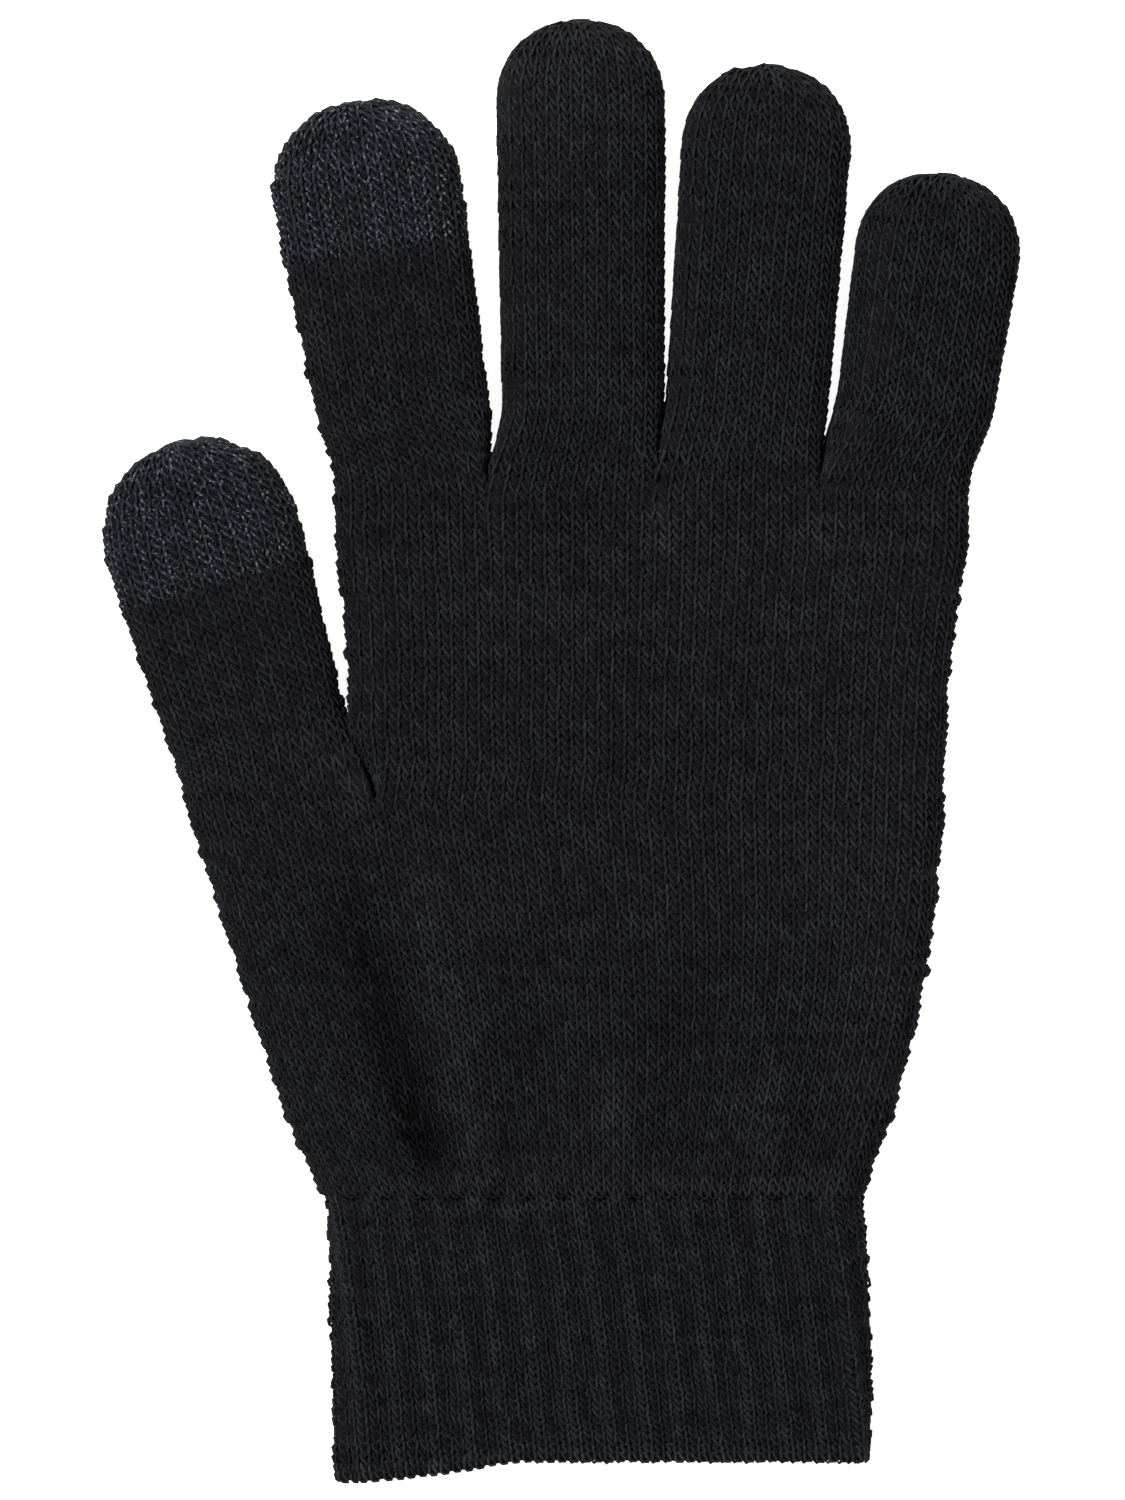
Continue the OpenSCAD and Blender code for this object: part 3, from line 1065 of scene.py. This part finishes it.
@dataclass
class Glove:
    """Knits every part of the glove, and ties each piece that rides on one body to that body."""

    elastic_rows: int = 6
    elastic_radius: float = 0.3
    elastic_points: int = 480
    elastic_inset: float = 1.32
    hand: HandShape = field(default_factory=HandShape)
    pieces: list[Piece] = field(default_factory=list)

    def __post_init__(self) -> None:
        """Make the yarns."""
        self.yarn, self.touch, self.rib = MAIN.build(), TOUCH.build(), RIB.build()
        self.hem, self.web, self.elastic = HEM.build(), SHADED_WEB.build(), ELASTIC.build()

    def finish_piece(self, piece: Piece, slot: Slot, nodes: tuple[str, ...]) -> None:
        """Hide the frame nodes that a piece replaces, keep the piece, and log its finish slot.

        Args:
            piece: The new piece.
            slot: The record's slot that its finish comes from.
            nodes: The frame nodes that it replaces, which may be none.
        """
        if nodes:
            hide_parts(*nodes)
        self.pieces.append(piece)
        LOG.info("%s: %s, %d faces", piece.name, slot.value, len(piece.data.polygons))

    def knit_stretches(
        self,
        tube: Tube,
        knitter: Knitter,
        finish: Material,
        slot: Slot,
        body: str,
        stretches: tuple[tuple[str, int, int, tuple[str, ...]], ...],
    ) -> None:
        """Knit stretches of a tube, one after another, that all ride on one body.

        Args:
            tube: The knitted tube.
            knitter: What lays the yarn.
            finish: The yarn's material.
            slot: The record's slot that their finish comes from.
            body: The body that they ride on.
            stretches: For each, its name, first course, end course and the frame nodes that it replaces.
        """
        for name, first, last, nodes in stretches:
            piece = tube.knit(name, first, last, knitter, finish, self.web)
            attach(piece, body)
            self.finish_piece(piece, slot, nodes)

    def knit_hand(self) -> None:
        """Knit the five-finger and four-finger sections."""
        knitter = Knitter(Stitch(), SEED)
        tube = self.hand.lower()
        courses = len(tube.wales)
        fold = 9
        middle = (courses + fold) // 2
        wrist = tube.knit("palm_knit_wrist", 0, fold, knitter, self.yarn, self.web)
        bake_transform(wrist)
        self.finish_piece(wrist, Slot.MAIN, ("wrist_fold",))
        stretches = (
            ("palm_knit_heel", fold, middle, ()),
            ("palm_knit_lower", middle, courses, ("palm_lower",)),
        )
        self.knit_stretches(tube, knitter, self.yarn, Slot.MAIN, "hand", stretches)
        tube = self.hand.upper()
        courses = len(tube.wales)
        middle = courses // 2
        stretches = (
            ("palm_knit_thumb_fork", 0, middle, ()),
            ("palm_knit_knuckles", middle, courses, ("palm_upper",)),
        )
        self.knit_stretches(tube, knitter, self.yarn, Slot.MAIN, "hand", stretches)

    def knit_digit(
        self, digit: Digit, root: Array, left_walls: float, bends: tuple[Bend, Bend], touch: float
    ) -> None:
        """Knit a finger or the thumb in lengths that each cross one joint.

        Args:
            digit: Its axis and widths.
            root: Points round its root.
            left_walls: Wales of wall on its left.
            bends: The knuckle and the middle joint.
            touch: Where its touch yarn begins, along its axis, or 0 for none.
        """
        tube = digit.tube(root, left_walls)
        knitter = Knitter(Stitch(), SEED + len(self.pieces))
        total = len(tube.wales)
        knuckle, middle = bends
        split = int(round((knuckle.end + middle.start) / 2 / digit.course))
        tip_from = int(round((touch or middle.end + 3) / digit.course))
        name = digit.name

        def along(s: float) -> Point:
            """Find the point at a joint, at half the digit's height.

            Args:
                s: The distance along the axis.

            Returns:
                A point on the thumb's leaning axis, or straight up from a finger's root, in metres.
            """
            x, y = digit.centre(s)
            across = x if name == "thumb" else digit.root_x
            return across * MM, y * MM, digit.height / 2 * MM

        low = tube.knit(f"{name}_knit_lower", 0, split, knitter, self.yarn, self.web)
        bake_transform(low)
        self.finish_piece(low, Slot.MAIN, (f"{name}_root", f"{name}_knuckle_fold", f"{name}_lower"))
        high = tube.knit(f"{name}_knit_upper", split, tip_from, knitter, self.yarn, self.web)
        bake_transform(high)
        self.finish_piece(high, Slot.MAIN, (f"{name}_middle_fold", f"{name}_upper"))
        finish, slot = (self.touch, Slot.TOUCH) if touch else (self.yarn, Slot.MAIN)
        tip_name = f"{name}_touch_tip_knit" if touch else f"{name}_tip_knit"
        tip = tube.knit(tip_name, tip_from, total, knitter, finish, self.web)
        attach(tip, middle.far)
        self.finish_piece(tip, slot, (f"{name}_touch_tip",) if touch else ())
        coil = digit.closing_yarn(f"{name}_closing_coil", finish)
        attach(coil, middle.far)
        self.finish_piece(coil, slot, (f"{name}_closing_yarn",))

    def knit_fingers(self) -> None:
        """Knit the four fingers and the thumb from their shares of the hand."""
        hand = self.hand
        top = hand.ring(hand.finger_line, hand.upper_rows, places_round(hand.upper_wales))
        line = hand.finger_line
        # Each finger, its new walls right and left, its two bends, and where its touch yarn begins.
        specs = (
            (Digit("index", -20.8, line, -9.1, 24.4, 28.2, 96.1 - line), (8, 0), (4.5, 17.5, 22, 35), 42.0),
            (Digit("middle", 3.2, line, -0.5, 23.9, 25.3, 107.5 - line), (4, 4), (4.5, 17.5, 29, 42), 0),
            (Digit("ring", 25.9, line, 4.3, 23.9, 25.3, 101.0 - line), (4, 4), (4.5, 17.5, 26, 39), 0),
            (Digit("little", 49.5, line, 8.4, 22.6, 24.7, 85.2 - line), (0, 8), (4.7, 16.7, 21, 33), 0),
        )
        share = hand.finger_share
        for number, (digit, walls, zones, touch) in enumerate(specs):
            root = hand.share(top, hand.upper_wales, share * number, share, walls)
            name = digit.name
            bends = (
                Bend("hand", f"{name}_lower", zones[0], zones[1]),
                Bend(f"{name}_lower", f"{name}_upper", zones[2], zones[3]),
            )
            self.knit_digit(digit, root, walls[1], bends, touch)
        low = hand.ring(hand.thumb_line, hand.rows, places_round(hand.lower_wales))
        root = hand.share(low, hand.lower_wales, 0, hand.thumb_share, (0, 0))
        thumb = Digit(
            "thumb", -42.2, hand.thumb_line, -16.0, 25.6, 29.6, 55.0,
            turn_start=1.0, turn_length=11.0, root_lean=-16.0, tip_stretch=1.15,
        )
        bends = (Bend("hand", "thumb_lower", 4.0, 15.5), Bend("thumb_lower", "thumb_upper", 18.0, 30.0))
        self.knit_digit(thumb, root, 0, bends, 34.0)

    def knit_cuff(self) -> None:
        """Knit the mock rib from its mouth, and lay the elastic inside it."""
        tube = CuffShape().tube()
        courses = len(tube.wales)
        middle = courses // 2
        edge = Stitch(radius=0.24, depth=0.22, half_height=0.7, swing=0.2, rib_depth=0.5)
        stretches = (("cuff_hem_courses", 0, 2, ("cuff_hem",)),)
        self.knit_stretches(tube, Knitter(edge, HEM_SEED), self.hem, Slot.HEM, "cuff", stretches)
        rib = Stitch(radius=0.24, depth=0.3, rib_depth=0.55)
        stretches = (
            ("cuff_rib_mouth", 2, middle, ()),
            ("cuff_rib_wrist", middle, courses, ("cuff",)),
        )
        self.knit_stretches(tube, Knitter(rib, RIB_SEED), self.rib, Slot.RIB, "cuff", stretches)
        self.lay_elastic(tube)

    def lay_elastic(self, tube: Tube) -> None:
        """Lay the covered rubber threads round the inside of the rib, held by the backs of its loops.

        Args:
            tube: The cuff's knitted tube.
        """
        parts = MeshParts()
        at = np.arange(self.elastic_points) / self.elastic_points
        radius = np.full(len(at), self.elastic_radius)
        for course in np.linspace(3.5, len(tube.wales) - 3.5, self.elastic_rows):
            point, normal = tube.grid.sample(at, np.full(len(at), course))
            sway = 0.08 * np.cos(2 * np.pi * at * tube.wales[0])
            path = point - normal * (self.elastic_inset + sway)[:, None]
            parts.add(*sweep(path, normal, radius, 8, closed=True), 0)
        threads = parts.build("cuff_elastic_threads", [self.elastic])
        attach(threads, "cuff")
        self.finish_piece(threads, Slot.ELASTIC, ("cuff_elastic",))


# -------- studio


@dataclass
class Studio:
    """A plain pale floor, soft light and a camera straight above the glove."""

    lens: float = 160.0
    view_height: float = 0.2210

    def floor(self) -> None:
        """Lay the floor."""
        bpy.ops.object.select_all(action="DESELECT")
        bpy.ops.mesh.primitive_plane_add(size=4.0, location=(0, 0, -0.0003))
        floor = bpy.context.active_object
        floor.name = "floor"
        # A white that glows a little, so that the ground stays even and the shadows nearly vanish.
        made = bpy.data.materials.new("white acrylic light table")
        made.use_nodes = True
        shader = made.node_tree.nodes["Principled BSDF"]
        shader.inputs["Base Color"].default_value = srgb("#fafafa")
        shader.inputs["Roughness"].default_value = 0.9
        shader.inputs["Emission Color"].default_value = (1, 1, 1, 1)
        shader.inputs["Emission Strength"].default_value = 0.9
        floor.data.materials.append(made)

    def light(self, name: str, place: Point, size: float, power: float) -> None:
        """Hang one square soft light, aimed at the glove.

        Args:
            name: The light's name.
            place: Where it hangs, in metres.
            size: The side of its square, in metres.
            power: Its power, in watts.
        """
        data = bpy.data.lights.new(name, "AREA")
        data.size, data.energy = size, power
        made = bpy.data.objects.new(name, data)
        made.location = place
        bpy.context.collection.objects.link(made)
        made.rotation_euler = (-Vector(place)).to_track_quat("-Z", "Y").to_euler()

    def build(self) -> None:
        """Set the floor, the lights, the world and the camera."""
        self.floor()
        self.light("key", (-1.2, 1.1, 1.5), 0.7, 58.0)
        self.light("fill", (1.6, -0.3, 1.2), 1.0, 20.0)
        self.light("top", (0.0, 0.1, 2.0), 1.6, 6.0)
        world = bpy.data.worlds.new("studio") if not bpy.context.scene.world else bpy.context.scene.world
        bpy.context.scene.world = world
        world.use_nodes = True
        back = world.node_tree.nodes["Background"]
        back.inputs["Color"].default_value = (1, 1, 1, 1)
        back.inputs["Strength"].default_value = 0.12
        camera = bpy.data.cameras.new("camera")
        camera.lens = self.lens
        camera.sensor_fit = "VERTICAL"
        camera.sensor_height = 36.0
        made = bpy.data.objects.new("camera", camera)
        distance = self.view_height * camera.lens / camera.sensor_height
        made.location = (0.0, -0.0003, distance + 0.012)
        bpy.context.collection.objects.link(made)
        bpy.context.scene.camera = made
        bpy.context.scene.view_settings.view_transform = "Standard"


def main() -> None:
    """Build the studio and the glove in order."""
    logging.basicConfig(level=logging.INFO, format="%(name)s %(message)s")
    Studio().build()
    glove = Glove()
    glove.knit_hand()
    glove.knit_fingers()
    glove.knit_cuff()


if __name__ == "__main__":
    main()
